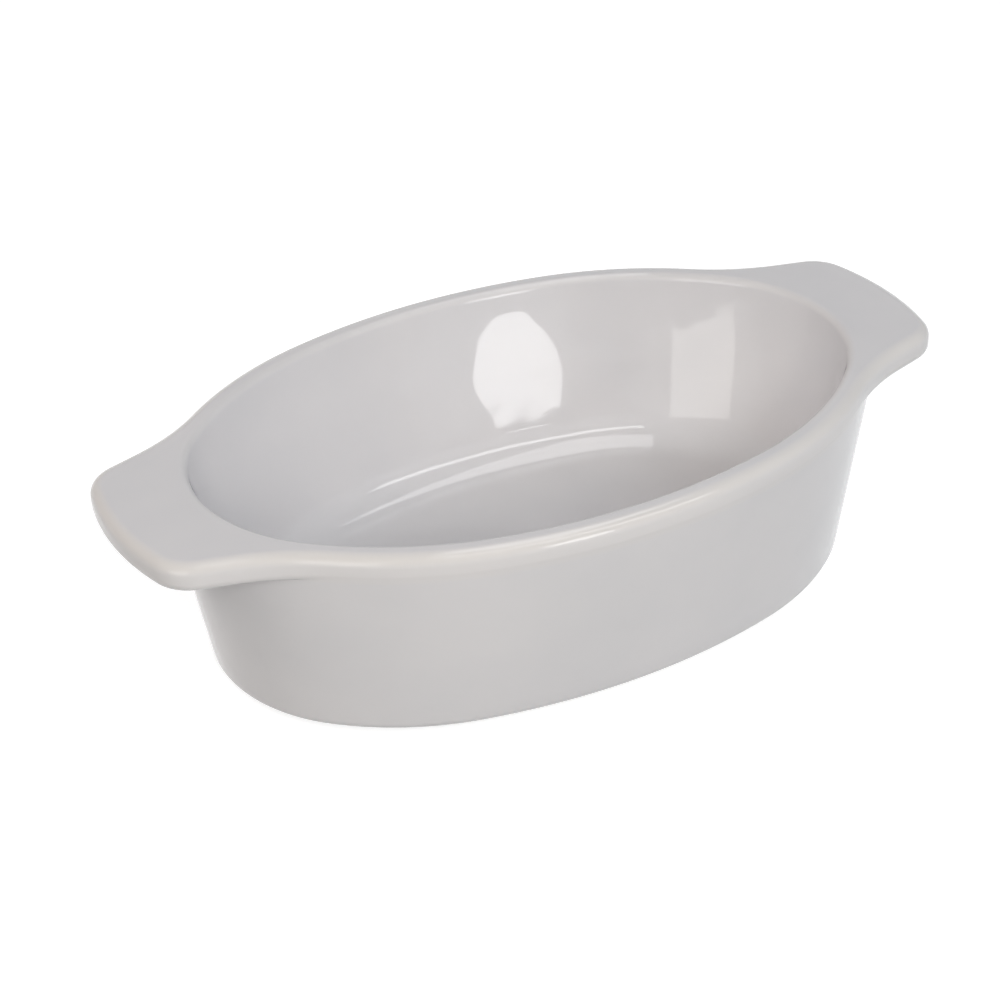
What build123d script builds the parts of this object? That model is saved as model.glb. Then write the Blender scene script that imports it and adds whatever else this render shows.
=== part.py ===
from build123d import *
import os
from math import atan2, cos, degrees, hypot, radians, sin, sqrt, tan

# Lengths are in millimetres. The dish is long along X, wide along Y, and stands on Z = 0.

# Overall sizes
overall_length = 210.0
overall_height = 52.0

# Oval of the rim, drawn with three arcs in a quarter, and how far it flares out from the base
rim_width = 117.8
end_flare = 8.0
side_flare = 8.4
rim_end_share = 1.148
base_end_share = 1.27
end_turn = 46.0
side_turn = 75.5
quarter_turn = 90.0

# Lip, wall and floor
lip_thickness = 5.6
lip_outer_share = 0.52
lip_inner_share = 0.36
inner_bend = 5.0
floor_thickness = 7.3
floor_inset = 13.7
floor_fillet = 12.0
base_rounding = 3.0

# Wing handles
handle_reach = 15.8
handle_thickness = 7.0
handle_underside_share = 0.33
handle_half_width = 27.2
handle_taper_share = 0.3
handle_tip_radius = 71.0
handle_corner_radius = 10.5
handle_side = 7.5
handle_cove = 5.0
handle_root = 0.5

# Foot ring, and the hollow underside within it
foot_height = 1.2
foot_inset = 5.0
foot_width = 4.5
foot_bevel = 0.5
recess_depth = 3.0
recess_bevel = 2.0

overrun = 5.0


def oval(length, width, end_share):
    """End, shoulder and side arc of a quarter oval, each as centre x, centre y and radius.

    The end radius is given as a share of the one at the end of an ellipse of the same size.
    """
    end_radius = end_share * width**2 / (2 * length)
    long_rest, wide_rest = length / 2 - end_radius, width / 2 - end_radius
    a, b = cos(radians(end_turn)), cos(radians(side_turn))
    c, d = 1 - sin(radians(end_turn)), 1 - sin(radians(side_turn))
    first = (long_rest * d - wide_rest * b) / (a * d - b * c)
    second = (wide_rest * a - long_rest * c) / (a * d - b * c)
    shoulder_radius = end_radius + first
    side_radius = shoulder_radius + second
    return [
        (long_rest, 0, end_radius),
        (long_rest - first * a, -first * sin(radians(end_turn)), shoulder_radius),
        (0, width / 2 - side_radius, side_radius),
    ]


def offset_arcs(arcs, inset):
    """The same arcs, all moved inward by one distance."""
    return [(x, y, r - inset) for x, y, r in arcs]


def wall_arcs(low, high, share):
    """Arcs of a sloping wall at a share of the way from its low outline to its high one."""
    return [tuple(p + (q - p) * share for p, q in zip(a, b)) for a, b in zip(low, high)]


def oval_quarter(arcs):
    turns = [0, end_turn, side_turn, quarter_turn]
    return [CenterArc((x, y), r, t, s - t) for (x, y, r), t, s in zip(arcs, turns, turns[1:])]


def closed_outline(quarter, height=0):
    """A quarter outline mirrored to all four quarters and set at a height."""
    half = quarter + [edge.mirror(Plane.YZ) for edge in quarter]
    return Pos(0, 0, height) * Wire(half + [edge.mirror(Plane.XZ) for edge in half])


def oval_block(arcs, low, high):
    """Upright oval block between two heights."""
    return Solid.extrude(Face(closed_outline(oval_quarter(arcs), low)), Vector(0, 0, high - low))


def lofted_wall(low, low_height, high, high_height, bow=0):
    """Wall block between two ovals; a bow swells its sides by that much halfway up."""
    levels = [(low, low_height), (high, high_height)]
    if bow:
        halfway = offset_arcs(wall_arcs(low, high, 1 / 2), -bow)
        levels.insert(1, (halfway, (low_height + high_height) / 2))
    outlines = [closed_outline(oval_quarter(arcs), height) for arcs, height in levels]
    return Solid.make_loft(outlines, ruled=not bow)


def rounding_run(rounding, tilt):
    """How far a rounding between a level face and a wall of this tilt runs along each of them."""
    return rounding * tan(radians((quarter_turn - tilt) / 2))


def rounded_foot(arcs, height, rounding, tilt):
    """Disc with a rounded lower edge, the oval that its wall starts from, and that oval's height."""
    run = rounding_run(rounding, tilt)
    start = height + run * cos(radians(tilt))
    disc = oval_block(offset_arcs(arcs, run - rounding), height, height + 2 * rounding)
    disc = disc.fillet(rounding, disc.edges().group_by(Axis.Z)[0])
    disc = disc.split(Plane((0, 0, start)), keep=Keep.BOTTOM)
    return disc, offset_arcs(arcs, -run * sin(radians(tilt))), start


def flared_mouth(arcs, height, rounding, tilt):
    """Opening with a rounded upper edge, the oval that its wall ends at, and that oval's height."""
    run = rounding_run(rounding, tilt)
    end = height - run * cos(radians(tilt))
    flare = offset_arcs(arcs, -run)
    lip = oval_block(offset_arcs(flare, -overrun), height - 2 * rounding, height)
    lip -= oval_block(offset_arcs(flare, rounding), height - 2 * rounding, height)
    lip = lip.fillet(rounding, lip.faces().sort_by(Axis.Z)[-1].inner_wires()[0].edges())
    mouth = oval_block(flare, end, height + overrun) - lip
    return mouth, offset_arcs(arcs, run * sin(radians(tilt))), end


def reach_along(point, run, centre, reach):
    """The far point of a straight run that lies at a given reach from a centre."""
    gap = point - centre
    ahead = gap.dot(run)
    return point + run * (sqrt(ahead**2 - gap.dot(gap) + reach**2) - ahead)


def winged_quarter(arcs):
    """Quarter of the rim outline with its wing: side, shoulder, hollow, straight side, corner, tip."""
    (mx, my, shoulder_radius), (sx, sy, side_radius) = arcs[1], arcs[2]
    shoulder = Vector(mx, my)
    tip = Vector(overall_length / 2 - handle_tip_radius, 0)
    root = Vector(rim_length / 2, handle_half_width)
    run = Vector(1, -handle_taper_share).normalized()
    out = Vector(handle_taper_share, 1).normalized()
    corner_reach = handle_tip_radius - handle_corner_radius
    corner = reach_along(root - out * handle_corner_radius, run, tip, corner_reach)
    corner_start = corner + out * handle_corner_radius
    corner_end = tip + (corner - tip).normalized() * handle_tip_radius
    hollow_end = corner_start - run * handle_side
    gap = hollow_end - shoulder
    hollow_radius = (gap.dot(gap) - shoulder_radius**2) / (2 * (shoulder_radius - gap.dot(out)))
    hollow = hollow_end + out * hollow_radius
    leave = shoulder + (hollow - shoulder).normalized() * shoulder_radius
    side = CenterArc((sx, sy), side_radius, side_turn, quarter_turn - side_turn)
    return [
        side,
        RadiusArc(side @ 0, leave, shoulder_radius),
        RadiusArc(leave, hollow_end, -hollow_radius),
        Line(hollow_end, corner_start),
        RadiusArc(corner_start, corner_end, handle_corner_radius),
        RadiusArc(corner_end, (overall_length / 2, 0), handle_tip_radius),
    ]


def wing_plate():
    """Flat top band of the dish with both wings, rounded round its upper and lower edges."""
    plate = Solid.extrude(Face(closed_outline(winged_quarter(rim))), Vector(0, 0, handle_thickness))
    plate = plate.fillet(lip_thickness * lip_outer_share, plate.edges().group_by(Axis.Z)[-1])
    return Pos(0, 0, underside) * plate.fillet(underside_rounding, plate.edges().group_by(Axis.Z)[0])


def oval_body():
    """Sloping oval outer wall from the base to where the top band turns upright."""
    tilt = degrees(atan2(end_flare, band_seam - foot_height))
    disc, start, low = rounded_foot(base, foot_height, base_rounding, tilt)
    return disc + lofted_wall(start, low, rim, band_seam)


def cavity():
    """Room inside the dish: filleted floor, wall that leans further out towards it, rounded lip."""
    run, rise = end_flare + floor_inset - lip_thickness, overall_height - floor_top
    tilt = degrees(atan2(run, rise))
    bow = hypot(run, rise) * tan(radians(inner_bend)) / 4
    floor, brim = offset_arcs(base, floor_inset), offset_arcs(rim, lip_thickness)
    disc, start, low = rounded_foot(floor, floor_top, floor_fillet, tilt + inner_bend)
    mouth, end, high = flared_mouth(brim, overall_height, lip_thickness * lip_inner_share, tilt - inner_bend)
    return disc + lofted_wall(start, low, end, high, bow) + mouth


def recess():
    """Hollow in the underside, within the foot ring."""
    room = oval_block(offset_arcs(base, foot_inset + foot_width), 0, foot_height + recess_depth)
    return room.chamfer(recess_bevel, None, room.edges().group_by(Axis.Z)[-1])


def whole_dish():
    """Glazed body in one: wall, floor, lip and wings, with coves under the wings."""
    solid = (oval_body() + wing_plate()).solid()
    undersides = solid.faces().filter_by_position(Axis.Z, underside, underside)
    coves = [edge for face in undersides for edge in face.edges().filter_by(GeomType.BSPLINE)]
    return (solid.fillet(handle_cove, coves) - cavity() - recess()).solid()


def oval_core():
    """Space inside the joint between the bowl and its handles, a little outside the oval wall."""
    low, high = offset_arcs(base, -handle_root), offset_arcs(rim, -handle_root)
    brim = overall_height + overrun
    share = (brim - foot_height) / (band_seam - foot_height)
    return lofted_wall(low, foot_height, wall_arcs(low, high, share), brim)


def bowl(dish):
    return (dish & oval_core()).solid()


def handles(dish):
    """The left and the right wing, each cut to the wall that it is joined to."""
    return (dish - oval_core()).solids().sort_by(Axis.X)


def foot_ring():
    """Low oval ring that the dish stands on, bevelled where it meets the table."""
    ring = oval_block(offset_arcs(base, foot_inset), 0, foot_height)
    ring -= oval_block(offset_arcs(base, foot_inset + foot_width), 0, foot_height)
    return ring.chamfer(foot_bevel, None, ring.edges().group_by(Axis.Z)[0])


rim_length = overall_length - 2 * handle_reach
rim = oval(rim_length, rim_width, rim_end_share)
base = oval(rim_length - 2 * end_flare, rim_width - 2 * side_flare, base_end_share)
underside = overall_height - handle_thickness
underside_rounding = handle_thickness * handle_underside_share
band_seam = underside + underside_rounding
floor_top = foot_height + recess_depth + floor_thickness

os.makedirs("parts", exist_ok=True)
dish = whole_dish()
left_handle, right_handle = handles(dish)
export_step(bowl(dish), "parts/bowl.step")
export_step(left_handle, "parts/left_handle.step")
export_step(right_handle, "parts/right_handle.step")
export_step(foot_ring(), "parts/foot_ring.step")
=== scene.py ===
from math import atan2, cos, hypot, pi, radians, sin, sqrt, tan

import bmesh
import bpy
from mathutils import Matrix, Vector


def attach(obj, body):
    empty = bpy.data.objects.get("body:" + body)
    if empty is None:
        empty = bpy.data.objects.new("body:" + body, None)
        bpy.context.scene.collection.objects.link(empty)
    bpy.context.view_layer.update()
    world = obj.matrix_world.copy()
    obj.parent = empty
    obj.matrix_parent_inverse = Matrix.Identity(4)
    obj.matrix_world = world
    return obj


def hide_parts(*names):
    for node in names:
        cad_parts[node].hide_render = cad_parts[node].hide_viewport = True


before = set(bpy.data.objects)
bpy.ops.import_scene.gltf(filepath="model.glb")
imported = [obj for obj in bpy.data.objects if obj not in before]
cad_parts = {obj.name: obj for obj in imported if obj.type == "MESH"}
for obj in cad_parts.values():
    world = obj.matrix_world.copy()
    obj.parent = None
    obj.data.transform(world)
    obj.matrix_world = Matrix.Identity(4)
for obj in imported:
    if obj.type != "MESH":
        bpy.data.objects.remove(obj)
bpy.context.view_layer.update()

# Everything is in metres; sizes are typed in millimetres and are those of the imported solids
MM = 0.001

# Overall sizes
LENGTH = 210.0 * MM
WIDTH = 117.8 * MM
HEIGHT = 52.0 * MM

# Ovals of the rim and the foot, each drawn with three arcs in a quarter
WING_REACH = 15.8 * MM
END_FLARE = 8.0 * MM
SIDE_FLARE = 8.4 * MM
RIM_END_SHARE = 1.148
FOOT_END_SHARE = 1.27
END_TURN = radians(46.0)
SIDE_TURN = radians(75.5)

# Lip, inner wall and floor
LIP = 5.6 * MM
LIP_OUTER_SHARE = 0.52
LIP_INNER_SHARE = 0.36
INNER_BEND = radians(5.0)
FLOOR_INSET = 13.7 * MM
FLOOR_FILLET = 12.0 * MM
FLOOR_TOP = 11.5 * MM

# Underside
BASE = 1.2 * MM
BASE_ROUNDING = 3.0 * MM
RECESS_INSET = 9.5 * MM
RECESS_DEPTH = 3.0 * MM
RECESS_BEVEL = 2.0 * MM

# Wing handles
WING_THICKNESS = 7.0 * MM
WING_EDGE_SHARE = 0.33
WING_HALF = 27.2 * MM
WING_TAPER_SHARE = 0.3
WING_SIDE = 7.5 * MM
TIP_RADIUS = 71.0 * MM
CORNER_RADIUS = 10.5 * MM
COVE = 5.0 * MM
COVE_POWER = 4

# Spacing of the glazed skin's rings: shares of the way over a level or a wall, counts on a curve
FLOOR_SHARES = (0.12, 0.25, 0.38, 0.5, 0.62, 0.74, 0.85, 0.93, 0.98, 1.0)
FLOOR_FILLET_RINGS = 16
WALL_RINGS = 14
WALL_END_SHARE = 0.01
LIP_INNER_RINGS = 8
TOP_SHARES = (0.04, 0.2, 0.35, 0.5, 0.65, 0.8, 0.96, 1.0)
LIP_OUTER_RINGS = 10
WING_EDGE_RINGS = 8
UNDER_WING_RINGS = 20
OUTER_WALL_RINGS = 10
BASE_ROUNDING_RINGS = 8
FOOT_LEVEL_RINGS = 3
RECESS_WALL_RINGS = 2
RECESS_BEVEL_RINGS = 3
UNDERSIDE_SHARES = (0.97, 0.85, 0.7, 0.55, 0.4, 0.25, 0.12)

# Spacing round a quarter: the degrees that a stretch ends at, and its steps, finest over the wing
QUARTER_STRETCHES = ((14.0, 14), (30.0, 32), (58.0, 30), (90.0, 28))
MERGE_REACH = 0.0001 * MM

# How far the rim's edges are mixed to a lighter, warmer tone, from 0 for the glaze's own tone to 1 for the
# full edge tone
INNER_EDGE_TONE = 0.3
BAND_TONE = 0.4


def oval(length, width, end_share):
    """End, shoulder and side arc of a quarter oval, each as centre x, centre y and radius."""
    end = end_share * width**2 / (2 * length)
    long_rest, wide_rest = length / 2 - end, width / 2 - end
    a, b = cos(END_TURN), cos(SIDE_TURN)
    c, d = 1 - sin(END_TURN), 1 - sin(SIDE_TURN)
    first = (long_rest * d - wide_rest * b) / (a * d - b * c)
    second = (wide_rest * a - long_rest * c) / (a * d - b * c)
    side = end + first + second
    return [
        (long_rest, 0.0, end),
        (long_rest - first * a, -first * sin(END_TURN), end + first),
        (0.0, width / 2 - side, side),
    ]


def circle_hit(start, way, centre, radius, far=True):
    """How far a ray runs to the far or the near side of a circle, or None if it misses it."""
    gap = centre - start
    ahead = gap.dot(way)
    rest = ahead**2 - gap.dot(gap) + radius**2
    if rest < 0:
        return None
    return ahead + (sqrt(rest) if far else -sqrt(rest))


RIM_LENGTH = LENGTH - 2 * WING_REACH
RIM = oval(RIM_LENGTH, WIDTH, RIM_END_SHARE)
FOOT = oval(RIM_LENGTH - 2 * END_FLARE, WIDTH - 2 * SIDE_FLARE, FOOT_END_SHARE)

LIP_OUTER, LIP_INNER = LIP_OUTER_SHARE * LIP, LIP_INNER_SHARE * LIP
WING_EDGE = WING_EDGE_SHARE * WING_THICKNESS
UNDERSIDE = HEIGHT - WING_THICKNESS
SEAM = UNDERSIDE + WING_EDGE
COVE_FOOT = UNDERSIDE - COVE
RECESS = BASE + RECESS_DEPTH

OUTER_TILT = atan2(END_FLARE, SEAM - BASE)
INNER_RUN, INNER_RISE = END_FLARE + FLOOR_INSET - LIP, HEIGHT - FLOOR_TOP
LOW_TILT = atan2(INNER_RUN, INNER_RISE) + INNER_BEND
HIGH_TILT = LOW_TILT - 2 * INNER_BEND
INNER_BOW = hypot(INNER_RUN, INNER_RISE) * tan(INNER_BEND) / 4

# Outline of a wing: tip arc, corner arc, straight side, and the hollow that leaves the rim's shoulder
TIP = Vector((LENGTH / 2 - TIP_RADIUS, 0.0))
SIDE_ROOT = Vector((RIM_LENGTH / 2, WING_HALF))
SIDE_RUN = Vector((1.0, -WING_TAPER_SHARE)).normalized()
SIDE_OUT = Vector((WING_TAPER_SHARE, 1.0)).normalized()
CORNER_LINE = SIDE_ROOT - SIDE_OUT * CORNER_RADIUS
CORNER = CORNER_LINE + SIDE_RUN * circle_hit(CORNER_LINE, SIDE_RUN, TIP, TIP_RADIUS - CORNER_RADIUS)
CORNER_END = (CORNER - TIP).normalized()
SHOULDER, SHOULDER_RADIUS = Vector(RIM[1][:2]), RIM[1][2]
HOLLOW_END = CORNER + SIDE_OUT * CORNER_RADIUS - SIDE_RUN * WING_SIDE
HOLLOW_GAP = HOLLOW_END - SHOULDER
HOLLOW_RADIUS = (HOLLOW_GAP.dot(HOLLOW_GAP) - SHOULDER_RADIUS**2) / (
    2 * (SHOULDER_RADIUS - HOLLOW_GAP.dot(SIDE_OUT))
)
HOLLOW = HOLLOW_END + SIDE_OUT * HOLLOW_RADIUS
LEAVE = (HOLLOW - SHOULDER).normalized()
LEAVE_TURN = atan2(LEAVE.y, LEAVE.x)


def arc_at(arcs, turn):
    """The arc of a quarter oval whose outline faces this turn."""
    if turn <= END_TURN:
        return arcs[0]
    return arcs[1] if turn <= SIDE_TURN else arcs[2]


def on_wall(turn, share, inset):
    """Centre and radius of the wall's arc at a turn, at a share of the way from foot to seam."""
    low, high = arc_at(FOOT, turn), arc_at(RIM, turn)
    x, y, radius = (p + (q - p) * share for p, q in zip(low, high))
    return x, y, radius - inset


def wall_share(height):
    """Share of the way from the foot to the seam at which a height lies."""
    return (height - BASE) / (SEAM - BASE)


def rounding_run(rounding, tilt):
    """How far a rounding between a level face and a wall of this tilt runs along each of them."""
    return rounding * tan((pi / 2 - tilt) / 2)


def steps(first, last, count):
    """Values spread evenly after the first one, up to the last."""
    return [first + (last - first) * (i + 1) / count for i in range(count)]


def band_reach(start, way, inset):
    """How far a ray from start runs to the outline of the top band, moved in by inset."""
    turn = atan2(way.y, way.x)
    x, y, radius = arc_at(RIM, turn)
    rim_hit = circle_hit(start, way, Vector((x, y)), radius - inset)
    if turn >= LEAVE_TURN:
        return rim_hit
    tip_hit = circle_hit(start, way, TIP, TIP_RADIUS - inset)
    if (start + way * tip_hit - TIP).normalized().y <= CORNER_END.y:
        return tip_hit
    corner_hit = circle_hit(start, way, CORNER, CORNER_RADIUS - inset)
    if corner_hit is not None and (start + way * corner_hit - CORNER).dot(SIDE_RUN) >= 0:
        return corner_hit
    side_hit = ((SIDE_ROOT - start).dot(SIDE_OUT) - inset) / way.dot(SIDE_OUT)
    if (start + way * side_hit - HOLLOW).dot(SIDE_RUN) >= 0:
        return side_hit
    hollow_hit = circle_hit(start, way, HOLLOW, HOLLOW_RADIUS + inset, far=False)
    if hollow_hit is not None and (start + way * hollow_hit - HOLLOW).cross(LEAVE) >= 0:
        return hollow_hit
    return rim_hit


# A ring of the glazed skin is a rule: from a turn of the quarter and its direction to a point

def level_ring(share, inset, height):
    """The wall's oval at a share of the way from foot to seam, moved in and set at a height."""
    def place(turn, way):
        x, y, radius = on_wall(turn, share, inset)
        return Vector((x + way.x * radius, y + way.y * radius, height))
    return place


def drawn_in_ring(ring, share):
    """A level ring drawn in towards the dish's middle."""
    def place(turn, way):
        point = ring(turn, way)
        return Vector((point.x * share, point.y * share, point.z))
    return place


def inner_wall_ring(share):
    """The bowed inner wall, between the floor's fillet and the lip's rounding."""
    low_run, high_run = rounding_run(FLOOR_FILLET, LOW_TILT), rounding_run(LIP_INNER, HIGH_TILT)
    low_inset, low_height = FLOOR_INSET - low_run * sin(LOW_TILT), FLOOR_TOP + low_run * cos(LOW_TILT)
    high_inset, high_height = LIP + high_run * sin(HIGH_TILT), HEIGHT - high_run * cos(HIGH_TILT)
    low, high = level_ring(0.0, low_inset, low_height), level_ring(1.0, high_inset, high_height)
    bow = 4 * INNER_BOW * share * (1 - share)
    return lambda turn, way: low(turn, way).lerp(high(turn, way), share) + way.to_3d() * bow


def top_ring(share):
    """The level top, between the lip's inner rounding and the band's rounded edge."""
    inner = level_ring(1.0, LIP - rounding_run(LIP_INNER, HIGH_TILT), HEIGHT)
    outer = band_ring(LIP_OUTER, HEIGHT)
    return lambda turn, way: inner(turn, way).lerp(outer(turn, way), share)


def band_ring(inset, height):
    """The top band with its wings; below the seam it stays outside the sloping wall."""
    def place(turn, way):
        x, y, radius = on_wall(turn, min(1.0, wall_share(height)), 0.0)
        reach = band_reach(Vector((x, y)), way, inset)
        if height < SEAM:
            reach = max(radius, reach)
        return Vector((x + way.x * reach, y + way.y * reach, height))
    return place


def under_wing_ring(share):
    """From the band's lower edge along the wing's underside and down its cove to the wall."""
    def place(turn, way):
        x, y, radius = on_wall(turn, wall_share(UNDERSIDE), 0.0)
        over = max(0.0, band_reach(Vector((x, y)), way, WING_EDGE) - radius)
        # The cove runs out softly where the band stands over the wall by less than a full cove
        full = rounding_run(COVE, OUTER_TILT)
        run = full * over / (over**COVE_POWER + full**COVE_POWER) ** (1 / COVE_POWER)
        cove_radius = run / tan((pi / 2 - OUTER_TILT) / 2)
        level, cove = over - run, cove_radius * (pi / 2 - OUTER_TILT)
        cove_end = UNDERSIDE - run * cos(OUTER_TILT)
        way_down = share * (level + cove + cove_end - COVE_FOOT)
        if way_down <= level:
            height, out = UNDERSIDE, over - way_down
        elif way_down <= level + cove:
            bend = (way_down - level) / cove_radius
            height = UNDERSIDE - cove_radius * (1 - cos(bend))
            out = run - cove_radius * sin(bend) + (UNDERSIDE - height) * tan(OUTER_TILT)
        else:
            height, out = cove_end - (way_down - level - cove), 0.0
        x, y, radius = on_wall(turn, wall_share(height), 0.0)
        return Vector((x + way.x * (radius + out), y + way.y * (radius + out), height))
    return place


def inside_rings():
    """Floor, fillet, bowed wall and the lip's inner rounding."""
    fillet_run, lip_run = rounding_run(FLOOR_FILLET, LOW_TILT), rounding_run(LIP_INNER, HIGH_TILT)
    floor_edge = level_ring(0.0, FLOOR_INSET + fillet_run, FLOOR_TOP)
    for share in FLOOR_SHARES:
        yield drawn_in_ring(floor_edge, share), 0.0
    for bend in steps(0.0, pi / 2 - LOW_TILT, FLOOR_FILLET_RINGS):
        inset = FLOOR_INSET + fillet_run - FLOOR_FILLET * sin(bend)
        yield level_ring(0.0, inset, FLOOR_TOP + FLOOR_FILLET * (1 - cos(bend))), 0.0
    wall_shares = steps(0.0, 1.0, WALL_RINGS)[:-1]
    for share in [WALL_END_SHARE, *wall_shares, 1 - WALL_END_SHARE, 1.0]:
        yield inner_wall_ring(share), 0.0
    for bend in steps(HIGH_TILT, pi / 2, LIP_INNER_RINGS):
        inset = LIP - lip_run + LIP_INNER * cos(bend)
        tone_share = INNER_EDGE_TONE * sin(2 * bend)
        yield level_ring(1.0, inset, HEIGHT - LIP_INNER * (1 - sin(bend))), tone_share


def band_rings():
    """Level top, the band's rounded upper edge, its upright side and its rounded lower edge."""
    for share in TOP_SHARES:
        yield top_ring(share), 0.0
    for bend in steps(0.0, pi / 2, LIP_OUTER_RINGS):
        tone_share = max(sin(2 * bend), BAND_TONE * sin(bend))
        yield band_ring(LIP_OUTER * (1 - sin(bend)), HEIGHT - LIP_OUTER * (1 - cos(bend))), tone_share
    yield band_ring(0.0, (SEAM + HEIGHT - LIP_OUTER) / 2), BAND_TONE
    for bend in [0.0, *steps(0.0, pi / 2, WING_EDGE_RINGS)]:
        tone_share = BAND_TONE * cos(bend)
        yield band_ring(WING_EDGE * (1 - cos(bend)), SEAM - WING_EDGE * sin(bend)), tone_share


def outside_rings():
    """Undersides of the wings with their coves, and the outer wall down to its rounded foot."""
    base_run = rounding_run(BASE_ROUNDING, OUTER_TILT)
    for share in steps(0.0, 1.0, UNDER_WING_RINGS):
        yield under_wing_ring(share), 0.0
    low_share = base_run * cos(OUTER_TILT) / (SEAM - BASE)
    for share in steps(wall_share(COVE_FOOT), low_share, OUTER_WALL_RINGS):
        yield level_ring(share, 0.0, BASE + share * (SEAM - BASE)), 0.0
    for bend in steps(OUTER_TILT, pi / 2, BASE_ROUNDING_RINGS):
        inset = base_run - BASE_ROUNDING * cos(bend)
        yield level_ring(0.0, inset, BASE + BASE_ROUNDING * (1 - sin(bend))), 0.0


def underside_rings():
    """Level that the foot ring sits on, and the bevelled recess within it."""
    for inset in steps(rounding_run(BASE_ROUNDING, OUTER_TILT), RECESS_INSET, FOOT_LEVEL_RINGS):
        yield level_ring(0.0, inset, BASE), 0.0
    for height in steps(BASE, RECESS - RECESS_BEVEL, RECESS_WALL_RINGS):
        yield level_ring(0.0, RECESS_INSET, height), 0.0
    for bevel in steps(0.0, RECESS_BEVEL, RECESS_BEVEL_RINGS):
        yield level_ring(0.0, RECESS_INSET + bevel, RECESS - RECESS_BEVEL + bevel), 0.0
    recess_edge = level_ring(0.0, RECESS_INSET + RECESS_BEVEL, RECESS)
    for share in UNDERSIDE_SHARES:
        yield drawn_in_ring(recess_edge, share), 0.0


def turns_round_the_dish():
    """Turns of the first quarter, each with the sides of X and Y that it is mirrored to."""
    degrees = [0.0]
    for last, count in QUARTER_STRETCHES:
        degrees += steps(degrees[-1], last, count)
    quarter = [radians(turn) for turn in degrees]
    ahead, back = quarter[:-1], quarter[:0:-1]
    turns = []
    for quarter_turns, x_side, y_side in ((ahead, 1, 1), (back, -1, 1), (ahead, -1, -1), (back, 1, -1)):
        turns += [(turn, x_side, y_side) for turn in quarter_turns]
    return turns


def glazed_skin():
    """The bowl and both wings in one skin, extruded from ring to ring and closed at both middles."""
    turns = turns_round_the_dish()
    ways = [Vector((cos(turn), sin(turn))) for turn, _, _ in turns]
    bm = bmesh.new()
    column = bm.verts.layers.int.new("column")
    edge_tone = bm.verts.layers.float.new("edge_tone")
    ring = bmesh.ops.create_circle(bm, cap_ends=False, segments=len(turns), radius=LENGTH)["verts"]
    for i, vert in enumerate(ring):
        vert[column] = i
    rings = [*inside_rings(), *band_rings(), *outside_rings(), *underside_rings()]
    for number, (place, tone_share) in enumerate(rings):
        if number:
            held = set(ring)
            edges = [e for v in ring for e in v.link_edges if held.issuperset(e.verts)]
            made = bmesh.ops.extrude_edge_only(bm, edges=list(dict.fromkeys(edges)))["geom"]
            ring = [g for g in made if isinstance(g, bmesh.types.BMVert)]
        for vert in ring:
            turn, x_side, y_side = turns[vert[column]]
            point = place(turn, ways[vert[column]])
            vert.co = (point.x * x_side, point.y * y_side, point.z)
            vert[edge_tone] = tone_share
    bmesh.ops.holes_fill(bm, edges=[e for e in bm.edges if e.is_boundary], sides=0)
    bmesh.ops.poke(bm, faces=[f for f in bm.faces if len(f.verts) > 4])
    bmesh.ops.remove_doubles(bm, verts=bm.verts, dist=MERGE_REACH)
    bmesh.ops.recalc_face_normals(bm, faces=bm.faces)
    for face in bm.faces:
        face.smooth = True
    bm.verts.layers.int.remove(column)
    return new_piece("glazed_dish", bm)


def new_piece(name, bm):
    """Turn a finished bmesh into an object in the scene."""
    mesh = bpy.data.meshes.new(name)
    bm.to_mesh(mesh)
    bm.free()
    piece = bpy.data.objects.new(name, mesh)
    bpy.context.scene.collection.objects.link(piece)
    return piece


def new_material(name):
    """A node material, with its nodes, its links and its shader."""
    material = bpy.data.materials.new(name)
    material.use_nodes = True
    tree = material.node_tree
    return material, tree.nodes, tree.links, tree.nodes["Principled BSDF"]


def noise_on_object(nodes, links, scale, detail):
    """Noise that follows the piece's own coordinates."""
    where = nodes.new("ShaderNodeTexCoord")
    noise = nodes.new("ShaderNodeTexNoise")
    noise.inputs["Scale"].default_value = scale
    noise.inputs["Detail"].default_value = detail
    links.new(where.outputs["Object"], noise.inputs["Vector"])
    return noise


def two_tones(nodes, links, noise, dark, light):
    """Colour ramp from a dark to a light tone over a noise."""
    tones = nodes.new("ShaderNodeValToRGB")
    tones.color_ramp.elements[0].color = dark
    tones.color_ramp.elements[1].color = light
    links.new(noise.outputs["Fac"], tones.inputs["Fac"])
    return tones


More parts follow.
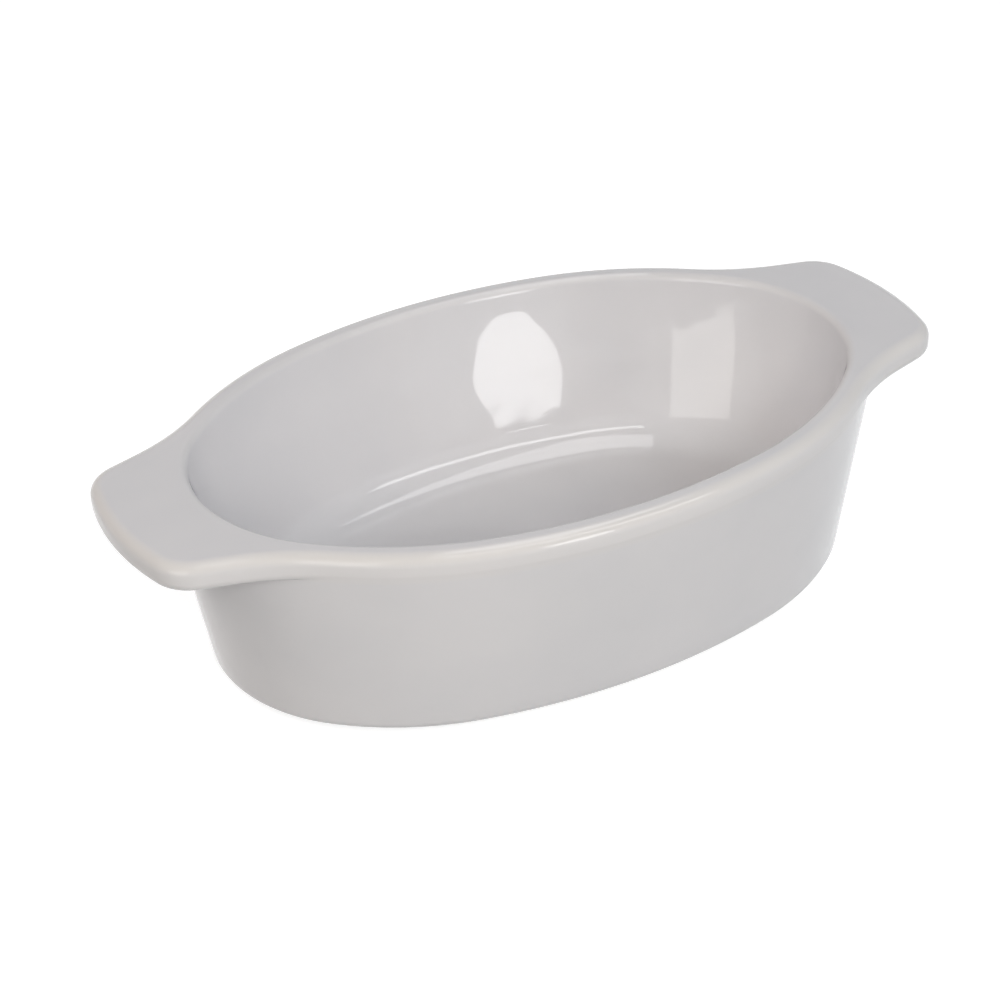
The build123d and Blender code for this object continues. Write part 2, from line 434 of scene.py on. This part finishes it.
def white_glaze():
    """Glossy white glaze, faintly clouded and rippled, lighter and warmer over the rim's edges."""
    material, nodes, links, shader = new_material("white_glaze")
    shader.inputs["IOR"].default_value = 1.5

    clouds = noise_on_object(nodes, links, scale=30.0, detail=3.0)
    tones = two_tones(nodes, links, clouds, dark=(0.700, 0.684, 0.692, 1), light=(0.740, 0.718, 0.720, 1))
    dark, light = tones.color_ramp.elements
    dark.position, light.position = 0.3, 0.7
    # The rim's edges are mixed to a lighter, warmer tone, by the share that each ring of the skin gives
    edge_tone_node = nodes.new("ShaderNodeAttribute")
    edge_tone_node.attribute_name = "edge_tone"
    over_edge = nodes.new("ShaderNodeMix")
    over_edge.data_type = "RGBA"
    over_edge.inputs["B"].default_value = (0.758, 0.722, 0.695, 1)
    links.new(edge_tone_node.outputs["Fac"], over_edge.inputs["Factor"])
    links.new(tones.outputs["Color"], over_edge.inputs["A"])
    links.new(over_edge.outputs["Result"], shader.inputs["Base Color"])

    gloss = nodes.new("ShaderNodeMapRange")
    gloss.inputs["To Min"].default_value = 0.02
    gloss.inputs["To Max"].default_value = 0.055
    links.new(clouds.outputs["Fac"], gloss.inputs["Value"])
    links.new(gloss.outputs["Result"], shader.inputs["Roughness"])

    ripple = noise_on_object(nodes, links, scale=95.0, detail=1.0)
    ripple.noise_dimensions = "4D"
    bump = nodes.new("ShaderNodeBump")
    bump.inputs["Strength"].default_value = 1.0
    bump.inputs["Distance"].default_value = 0.07 * MM
    links.new(ripple.outputs["Fac"], bump.inputs["Height"])
    links.new(bump.outputs["Normal"], shader.inputs["Normal"])
    return material


def bare_clay():
    """Matt unglazed clay with a fine grain."""
    material, nodes, links, shader = new_material("bare_clay")
    shader.inputs["Roughness"].default_value = 0.85
    grain = noise_on_object(nodes, links, scale=900.0, detail=2.0)
    tones = two_tones(nodes, links, grain, dark=(0.62, 0.58, 0.52, 1), light=(0.78, 0.75, 0.70, 1))
    links.new(tones.outputs["Color"], shader.inputs["Base Color"])
    return material


def seen_or_mirrored(nodes, links):
    """1 for what the camera sees, directly, mirrored or through glass, and 0 for light on the dish."""
    path = nodes.new("ShaderNodeLightPath")
    seen = path.outputs["Is Camera Ray"]
    for name in ("Is Glossy Ray", "Is Transmission Ray"):
        either = nodes.new("ShaderNodeMath")
        either.operation = "MAXIMUM"
        links.new(seen, either.inputs[0])
        links.new(path.outputs[name], either.inputs[1])
        seen = either.outputs["Value"]
    return seen


def white_paper():
    """Paper that looks white under lamps that leave the dish at its own colour."""
    material, nodes, links, shader = new_material("white_paper")
    shader.inputs["Base Color"].default_value = (0.45, 0.45, 0.45, 1)
    shader.inputs["Roughness"].default_value = 0.9
    shader.inputs["Emission Color"].default_value = (1, 1, 1, 1)
    lift = nodes.new("ShaderNodeMath")
    lift.operation = "MULTIPLY"
    lift.inputs[1].default_value = 0.76
    links.new(seen_or_mirrored(nodes, links), lift.inputs[0])
    links.new(lift.outputs["Value"], shader.inputs["Emission Strength"])
    return material


def paper_floor():
    """Floor just below the foot ring, so that the two faces don't coincide."""
    half_size, drop = 1.5, 0.1 * MM
    bm = bmesh.new()
    bmesh.ops.create_grid(bm, x_segments=4, y_segments=4, size=half_size)
    bmesh.ops.translate(bm, vec=(0.0, 0.0, -drop), verts=bm.verts)
    return new_piece("floor", bm)


def white_world():
    """White to look at and to mirror, and a faint cool light in the room."""
    world = bpy.data.worlds.new("white_room")
    bpy.context.scene.world = world
    world.use_nodes = True
    nodes, links = world.node_tree.nodes, world.node_tree.links
    nodes.clear()
    out = nodes.new("ShaderNodeOutputWorld")
    seen, room = nodes.new("ShaderNodeBackground"), nodes.new("ShaderNodeBackground")
    seen.inputs["Color"].default_value = (1, 1, 1, 1)
    seen.inputs["Strength"].default_value = 1.0
    room.inputs["Color"].default_value = (0.96, 0.96, 1.0, 1)
    room.inputs["Strength"].default_value = 0.04
    mix = nodes.new("ShaderNodeMixShader")
    links.new(seen_or_mirrored(nodes, links), mix.inputs["Fac"])
    links.new(room.outputs["Background"], mix.inputs[1])
    links.new(seen.outputs["Background"], mix.inputs[2])
    links.new(mix.outputs["Shader"], out.inputs["Surface"])


def softbox(name, turn, rise, wide, tall, glow, colour=(1, 1, 1), lean=0.0, tip=0.0, shape="RECTANGLE"):
    """Lamp panel that faces the dish.

    Turn goes round from the front towards +X and rise goes up from the floor, both in degrees.
    Lean turns the panel in its own plane and tip turns it about its width. Glow is the
    brightness of its face, where 1 is white.
    """
    away = 1.2
    turn, rise = radians(turn), radians(rise)
    way = Vector((sin(turn) * cos(rise), -cos(turn) * cos(rise), sin(rise)))
    data = bpy.data.lights.new(name, "AREA")
    data.shape, data.size, data.size_y = shape, wide, tall
    data.energy, data.color = glow * pi * wide * tall, colour
    lamp = bpy.data.objects.new(name, data)
    lamp.location = way * away
    facing = way.to_track_quat("Z", "Y").to_matrix()
    leaned = Matrix.Rotation(radians(-lean), 3, "Z") @ Matrix.Rotation(radians(-tip), 3, "X")
    lamp.rotation_euler = (facing @ leaned).to_euler()
    bpy.context.scene.collection.objects.link(lamp)
    return lamp


def mirrored_panel(name, **panel):
    """Panel that the glaze mirrors and that puts no light of its own on the dish."""
    softbox(name, **panel).visible_diffuse = False


def fill_lamp(name, **panel):
    """Lamp that lights the dish and that the glaze doesn't mirror."""
    softbox(name, **panel).visible_glossy = False


def studio_lamps():
    """The lamps, placed so that their reflections lie in the glaze where the photograph has them."""
    softbox("front_box", turn=10.0, rise=14.8, wide=0.30, tall=0.385, glow=4.4, lean=20.0, shape="ELLIPSE")

    mirrored_panel(
        "left_box", turn=-53.5, rise=10.0, wide=0.645, tall=1.06, glow=2.1,
        colour=(1.0, 0.98, 0.94), lean=-22.4, tip=54.6,
    )
    mirrored_panel("front_strip", turn=19.0, rise=54.0, wide=1.1, tall=0.14, glow=5.0, lean=27.0)
    mirrored_panel("ceiling_panel", turn=87.0, rise=76.5, wide=0.45, tall=0.75, glow=2.8, lean=-60.0)

    narrow = {"wide": 0.8, "tall": 0.4}
    broad = {"wide": 0.8, "tall": 0.5}
    fill_lamp("front_fill", turn=0.0, rise=40.0, glow=4.4, colour=(0.98, 1.0, 1.0), **narrow)
    fill_lamp("front_left_fill", turn=-28.0, rise=33.0, glow=4.6, colour=(1.0, 0.98, 0.95), **narrow)
    fill_lamp("left_fill", turn=-100.0, rise=41.0, glow=1.7, colour=(1.0, 0.94, 0.87), **broad)
    fill_lamp("right_fill", turn=85.0, rise=36.0, glow=1.65, colour=(0.72, 0.84, 1.0), **broad)
    fill_lamp("back_left_fill", turn=-150.0, rise=33.0, glow=3.4, colour=(1.0, 0.96, 0.98), **narrow)
    fill_lamp("back_right_fill", turn=150.0, rise=35.0, glow=0.9, **narrow)


def photo_camera():
    """Camera at the photograph's viewing angle, as solved from the dish's outlines."""
    place = Vector((-271.96, -489.32, 368.42)) * MM
    right = Vector((0.87034, -0.49146, -0.03133))
    up = Vector((0.28086, 0.44311, 0.85133))
    back = right.cross(up).normalized()
    up = back.cross(right).normalized()
    data = bpy.data.cameras.new("camera")
    data.sensor_width, data.lens = 36.0, 98.66
    data.clip_start, data.clip_end = 0.05, 20.0
    camera = bpy.data.objects.new("camera", data)
    turned = Matrix((right, up, back)).transposed().to_4x4()
    camera.matrix_world = Matrix.Translation(place) @ turned
    bpy.context.scene.collection.objects.link(camera)
    return camera


dish = glazed_skin()
dish.data.materials.append(white_glaze())
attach(dish, "root")
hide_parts("bowl", "left_handle", "right_handle")

clay = bare_clay()
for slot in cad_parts["foot_ring"].material_slots:
    slot.material = clay

paper = paper_floor()
paper.data.materials.append(white_paper())
white_world()
studio_lamps()

scene = bpy.context.scene
scene.camera = photo_camera()
scene.view_settings.view_transform = "Standard"
